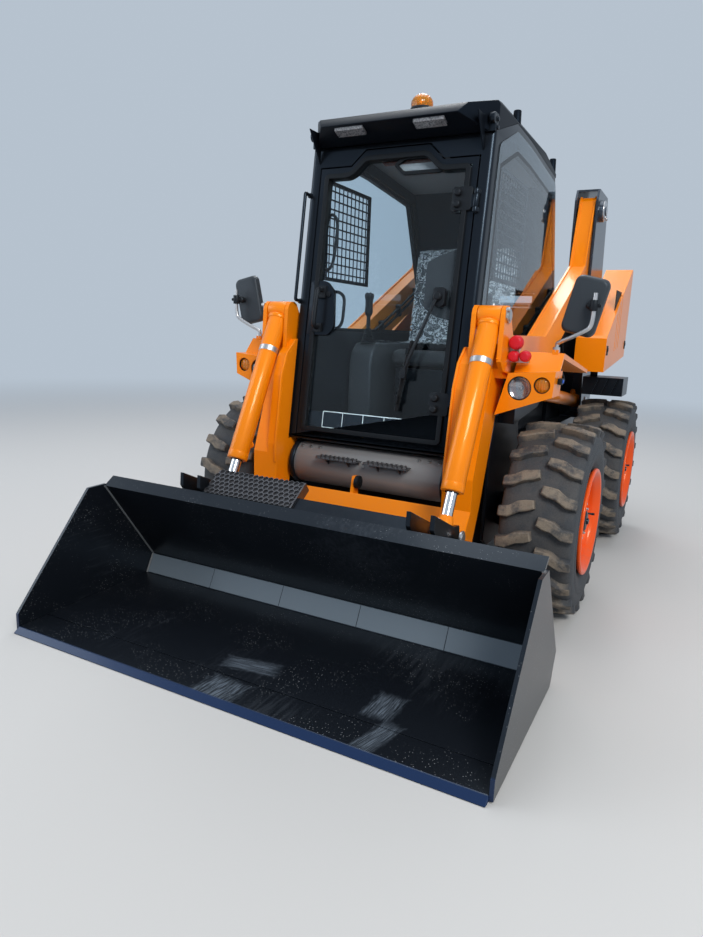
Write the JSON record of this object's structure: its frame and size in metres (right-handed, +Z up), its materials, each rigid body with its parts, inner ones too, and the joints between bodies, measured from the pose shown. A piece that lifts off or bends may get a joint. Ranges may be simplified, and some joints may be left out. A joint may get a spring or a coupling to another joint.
{
  "type": "skid-steer loader",
  "caption": "Compact skid-steer loader with a closed cab, radial lift arms behind the cab, a quick hitch and an earth bucket.",
  "frame": {"origin": "on the ground, in the middle of the overall length and width", "axes": "+Z up, -Y the way the machine faces, +X to its left"},
  "size_m": [1.81, 3.523, 2.1399],
  "materials": {
    "tyre_rubber": "dusty moulded rubber",
    "orange_paint": "gloss orange paint",
    "black_paint": "satin black paint",
    "bucket_paint": "black paint, scuffed",
    "drum_paint": "dark grey paint",
    "step_steel": "black punched plate",
    "rod_chrome": "polished hard chrome",
    "coupler_red": "red dust caps",
    "tinted_glass": "lightly tinted glass",
    "lamp_lens": "clear lens",
    "beacon_amber": "amber lens",
    "cab_plastic": "grained dark plastic",
    "seat_cloth": "dark cloth under clear film",
    "engine_iron": "painted casting"
  },
  "bodies": {
    "chassis": {"chassis_tub": "black_paint", "front_drum": "drum_paint", "door_steps": "step_steel", "towers": "black_paint", "axles": "black_paint", "cab_frame": "black_paint", "side_glass": "tinted_glass", "rear_glass": "tinted_glass", "cab_roof": "black_paint", "beacon": "beacon_amber", "seat_base": "cab_plastic", "seat": "seat_cloth", "consoles": "cab_plastic", "joysticks": "cab_plastic", "side_boxes": "orange_paint", "engine_block": "engine_iron", "engine_hood": "black_paint", "rear_bumper": "black_paint", "lamp_boxes": "orange_paint", "headlamps": "lamp_lens", "indicators": "beacon_amber", "mirrors": "cab_plastic", "work_lamps": "lamp_lens", "window_guards": "black_paint", "step_boxes": "black_paint", "tail_lamps": "coupler_red", "fender_walls": "black_paint", "grab_bar": "black_paint"},
    "door": {"door_frame": "black_paint", "door_glass": "tinted_glass"},
    "rear_door": {"rear_door": "black_paint"},
    "boom": {"arms": "orange_paint", "boom_cross_member": "orange_paint", "coupler_block": "coupler_red"},
    "bucket": {"quick_hitch": "black_paint", "hitch_step": "step_steel", "bucket_shell": "bucket_paint", "cutting_edge": "bucket_paint"},
    "lift_barrel_left": {"lift_barrel_left": "orange_paint"},
    "lift_rod_left": {"lift_rod_left": "rod_chrome"},
    "tilt_barrel_left": {"tilt_barrel_left": "orange_paint"},
    "tilt_rod_left": {"tilt_rod_left": "rod_chrome"},
    "lift_barrel_right": {"lift_barrel_right": "orange_paint"},
    "lift_rod_right": {"lift_rod_right": "rod_chrome"},
    "tilt_barrel_right": {"tilt_barrel_right": "orange_paint"},
    "tilt_rod_right": {"tilt_rod_right": "rod_chrome"},
    "wheel_front_left": {"tyre_front_left": "tyre_rubber", "rim_front_left": "orange_paint"},
    "wheel_front_right": {"tyre_front_right": "tyre_rubber", "rim_front_right": "orange_paint"},
    "wheel_rear_left": {"tyre_rear_left": "tyre_rubber", "rim_rear_left": "orange_paint"},
    "wheel_rear_right": {"tyre_rear_right": "tyre_rubber", "rim_rear_right": "orange_paint"}
  },
  "joints": [
    {"name": "boom_lift", "type": "hinge", "parent": "chassis", "child": "boom", "pos_m": [0, 1.0815, 1.865], "axis": [-1, 0, 0], "range_deg": [0, 66]},
    {"name": "bucket_tilt", "type": "hinge", "parent": "boom", "child": "bucket", "pos_m": [0, -0.9035, 0.285], "axis": [1, 0, 0], "range_deg": [-26, 88]},
    {"name": "door_swing", "type": "hinge", "parent": "chassis", "child": "door", "pos_m": [0.362, -0.69586, 0.881], "axis": [0, -0.1387, -0.9903], "range_deg": [-85, 0]},
    {"name": "rear_door_swing", "type": "hinge", "parent": "chassis", "child": "rear_door", "pos_m": [-0.418, 1.6558, 1.21], "axis": [0, 0, 1], "range_deg": [0, 100]},
    {"name": "lift_barrel_turn_left", "type": "hinge", "parent": "chassis", "child": "lift_barrel_left", "pos_m": [0.49, 1.2515, 0.75], "axis": [-1, 0, 0], "range_deg": [0, 42.88]},
    {"name": "lift_rod_slide_left", "type": "slide", "parent": "lift_barrel_left", "child": "lift_rod_left", "axis": [0, -0.9938, 0.1109], "range_m": [0, 1.0102]},
    {"name": "tilt_barrel_turn_left", "type": "hinge", "parent": "boom", "child": "tilt_barrel_left", "pos_m": [0.48, -0.6615, 1.213], "axis": [1, 0, 0], "range_deg": [-1.71, 5.55]},
    {"name": "tilt_rod_slide_left", "type": "slide", "parent": "tilt_barrel_left", "child": "tilt_rod_left", "axis": [0, -0.4435, -0.8963], "range_m": [-0.0828, 0.27785]},
    {"name": "lift_barrel_turn_right", "type": "hinge", "parent": "chassis", "child": "lift_barrel_right", "pos_m": [-0.49, 1.2515, 0.75], "axis": [-1, 0, 0], "range_deg": [0, 42.88]},
    {"name": "lift_rod_slide_right", "type": "slide", "parent": "lift_barrel_right", "child": "lift_rod_right", "axis": [0, -0.9938, 0.1109], "range_m": [0, 1.0102]},
    {"name": "tilt_barrel_turn_right", "type": "hinge", "parent": "boom", "child": "tilt_barrel_right", "pos_m": [-0.48, -0.6615, 1.213], "axis": [1, 0, 0], "range_deg": [-1.71, 5.55]},
    {"name": "tilt_rod_slide_right", "type": "slide", "parent": "tilt_barrel_right", "child": "tilt_rod_right", "axis": [0, -0.4435, -0.8963], "range_m": [-0.0828, 0.27785]},
    {"name": "wheel_front_left_spin", "type": "hinge", "parent": "chassis", "child": "wheel_front_left", "pos_m": [0.7325, -0.3685, 0.398], "axis": [1, 0, 0], "continuous": true},
    {"name": "wheel_front_right_spin", "type": "hinge", "parent": "chassis", "child": "wheel_front_right", "pos_m": [-0.7325, -0.3685, 0.398], "axis": [1, 0, 0], "continuous": true},
    {"name": "wheel_rear_left_spin", "type": "hinge", "parent": "chassis", "child": "wheel_rear_left", "pos_m": [0.7325, 0.9715, 0.398], "axis": [1, 0, 0], "continuous": true},
    {"name": "wheel_rear_right_spin", "type": "hinge", "parent": "chassis", "child": "wheel_rear_right", "pos_m": [-0.7325, 0.9715, 0.398], "axis": [1, 0, 0], "continuous": true}
  ],
  "couplings": [
    {"joint": "lift_barrel_turn_left", "follows": "boom_lift", "ratio": 0.64823},
    {"joint": "lift_rod_slide_left", "follows": "boom_lift", "m_per_rad": 0.87611},
    {"joint": "tilt_barrel_turn_left", "follows": "bucket_tilt", "ratio": 0.061961},
    {"joint": "tilt_rod_slide_left", "follows": "bucket_tilt", "m_per_rad": 0.18025},
    {"joint": "lift_barrel_turn_right", "follows": "boom_lift", "ratio": 0.64823},
    {"joint": "lift_rod_slide_right", "follows": "boom_lift", "m_per_rad": 0.87611},
    {"joint": "tilt_barrel_turn_right", "follows": "bucket_tilt", "ratio": 0.061961},
    {"joint": "tilt_rod_slide_right", "follows": "bucket_tilt", "m_per_rad": 0.18025}
  ]
}
